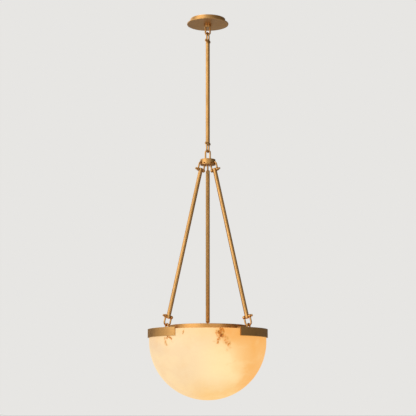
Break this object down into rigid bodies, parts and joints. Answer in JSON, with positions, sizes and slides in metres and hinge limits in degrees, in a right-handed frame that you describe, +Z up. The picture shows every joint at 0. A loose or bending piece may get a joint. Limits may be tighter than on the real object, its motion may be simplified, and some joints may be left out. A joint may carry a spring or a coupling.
{
  "type": "bowl pendant light",
  "caption": "Bowl pendant light: a veined stone bowl held by claws at its rim, hung on rods from a hub, a jointed stem and a flat round ceiling canopy.",
  "frame": {"origin": "middle of the canopy's top, in the plane of the ceiling and of the mounting bar's top face", "axes": "+Z up, -Y towards the side that the picture shows, +X to its right"},
  "size_m": [0.457, 0.4516, 1.4923],
  "materials": {
    "aged_brass": "satin, lightly aged",
    "zinc_steel": "zinc plated",
    "ground_green": "satin",
    "alabaster": "honed, translucent, brown veins",
    "liner_rubber": "matte",
    "white_enamel": "gloss white",
    "black_plastic": "matte",
    "clear_plastic": "natural nylon",
    "porcelain": "glazed",
    "bulb_metal": "plain",
    "frosted_glass": "frosted, lit"
  },
  "bodies": {
    "canopy": {"canopy_cover": "aged_brass", "canopy_loop": "aged_brass", "mounting_bar": "zinc_steel", "ground_screw": "ground_green", "hanger_nipple": "zinc_steel", "bar_locknut": "zinc_steel", "canopy_locknut": "zinc_steel"},
    "top_link": {"top_shackle": "aged_brass", "top_shackle_pin": "aged_brass"},
    "stem": {"stem_tube": "aged_brass", "stem_top_plug": "aged_brass", "stem_bottom_plug": "aged_brass"},
    "bottom_link": {"bottom_shackle": "aged_brass", "bottom_shackle_pin": "aged_brass"},
    "hub": {"hub_body": "aged_brass", "hub_loop": "aged_brass", "hub_bars": "aged_brass", "rod_top_pins": "aged_brass", "rod_top_shackle_1": "aged_brass", "rod_top_shackle_2": "aged_brass", "rod_top_shackle_3": "aged_brass"},
    "rod_1": {"rod_tube_1": "aged_brass", "rod_top_plug_1": "aged_brass", "rod_bottom_plug_1": "aged_brass", "rod_bottom_shackle_1": "aged_brass", "rod_bottom_pin_1": "aged_brass"},
    "rod_2": {"rod_tube_2": "aged_brass", "rod_top_plug_2": "aged_brass", "rod_bottom_plug_2": "aged_brass", "rod_bottom_shackle_2": "aged_brass", "rod_bottom_pin_2": "aged_brass"},
    "rod_3": {"rod_tube_3": "aged_brass", "rod_top_plug_3": "aged_brass", "rod_bottom_plug_3": "aged_brass", "rod_bottom_shackle_3": "aged_brass", "rod_bottom_pin_3": "aged_brass"},
    "bowl_frame": {"claw_1": "aged_brass", "claw_2": "aged_brass", "claw_3": "aged_brass", "claw_staple_1": "aged_brass", "claw_staple_2": "aged_brass", "claw_staple_3": "aged_brass", "staple_nuts": "zinc_steel", "claw_liners": "liner_rubber", "light_pan": "aged_brass", "socket_plate": "white_enamel", "pan_screws": "zinc_steel", "pan_nuts": "zinc_steel", "pan_bushing": "black_plastic", "alabaster_bowl": "alabaster", "bowl_bolts": "zinc_steel", "bowl_washers": "clear_plastic", "bulb_bases": "bulb_metal", "lamp_socket_1": "porcelain", "lamp_socket_2": "porcelain", "lamp_socket_3": "porcelain", "bulb_glass_1": "frosted_glass", "bulb_glass_2": "frosted_glass", "bulb_glass_3": "frosted_glass"}
  },
  "joints": [
    {"name": "top_link_swing", "type": "hinge", "parent": "canopy", "child": "top_link", "pos_m": [0, 0, -0.0615], "axis": [1, 0, 0], "range_deg": [-25, 25]},
    {"name": "stem_swing", "type": "hinge", "parent": "top_link", "child": "stem", "pos_m": [0, 0, -0.0883], "axis": [-0.342, -0.9397, 0], "range_deg": [-25, 25]},
    {"name": "bottom_link_swing", "type": "hinge", "parent": "stem", "child": "bottom_link", "pos_m": [0, 0, -0.5023], "axis": [-0.342, -0.9397, 0], "range_deg": [-25, 25]},
    {"name": "hub_swing", "type": "hinge", "parent": "bottom_link", "child": "hub", "pos_m": [0, 0, -0.5291], "axis": [1, 0, 0], "range_deg": [-25, 25]},
    {"name": "bowl_twist", "type": "hinge", "parent": "hub", "child": "bowl_frame", "pos_m": [0, 0, -0.5879], "axis": [0, 0, 1], "range_deg": [-6, 6]},
    {"name": "rod_1_swing", "type": "hinge", "parent": "hub", "child": "rod_1", "pos_m": [-0.02712, -0.01566, -0.60962], "axis": [-0.8417, -0.486, 0.2351], "range_deg": [-1.8, 1.8]},
    {"name": "rod_2_swing", "type": "hinge", "parent": "hub", "child": "rod_2", "pos_m": [0.02712, -0.01566, -0.60962], "axis": [0.8417, -0.486, 0.2351], "range_deg": [-1.8, 1.8]},
    {"name": "rod_3_swing", "type": "hinge", "parent": "hub", "child": "rod_3", "pos_m": [0, 0.03131, -0.60962], "axis": [0, 0.972, 0.2351], "range_deg": [-1.8, 1.8]}
  ],
  "couplings": [
    {"joint": "rod_1_swing", "follows": "bowl_twist", "ratio": 0.28593},
    {"joint": "rod_2_swing", "follows": "bowl_twist", "ratio": 0.28593},
    {"joint": "rod_3_swing", "follows": "bowl_twist", "ratio": 0.28593}
  ]
}
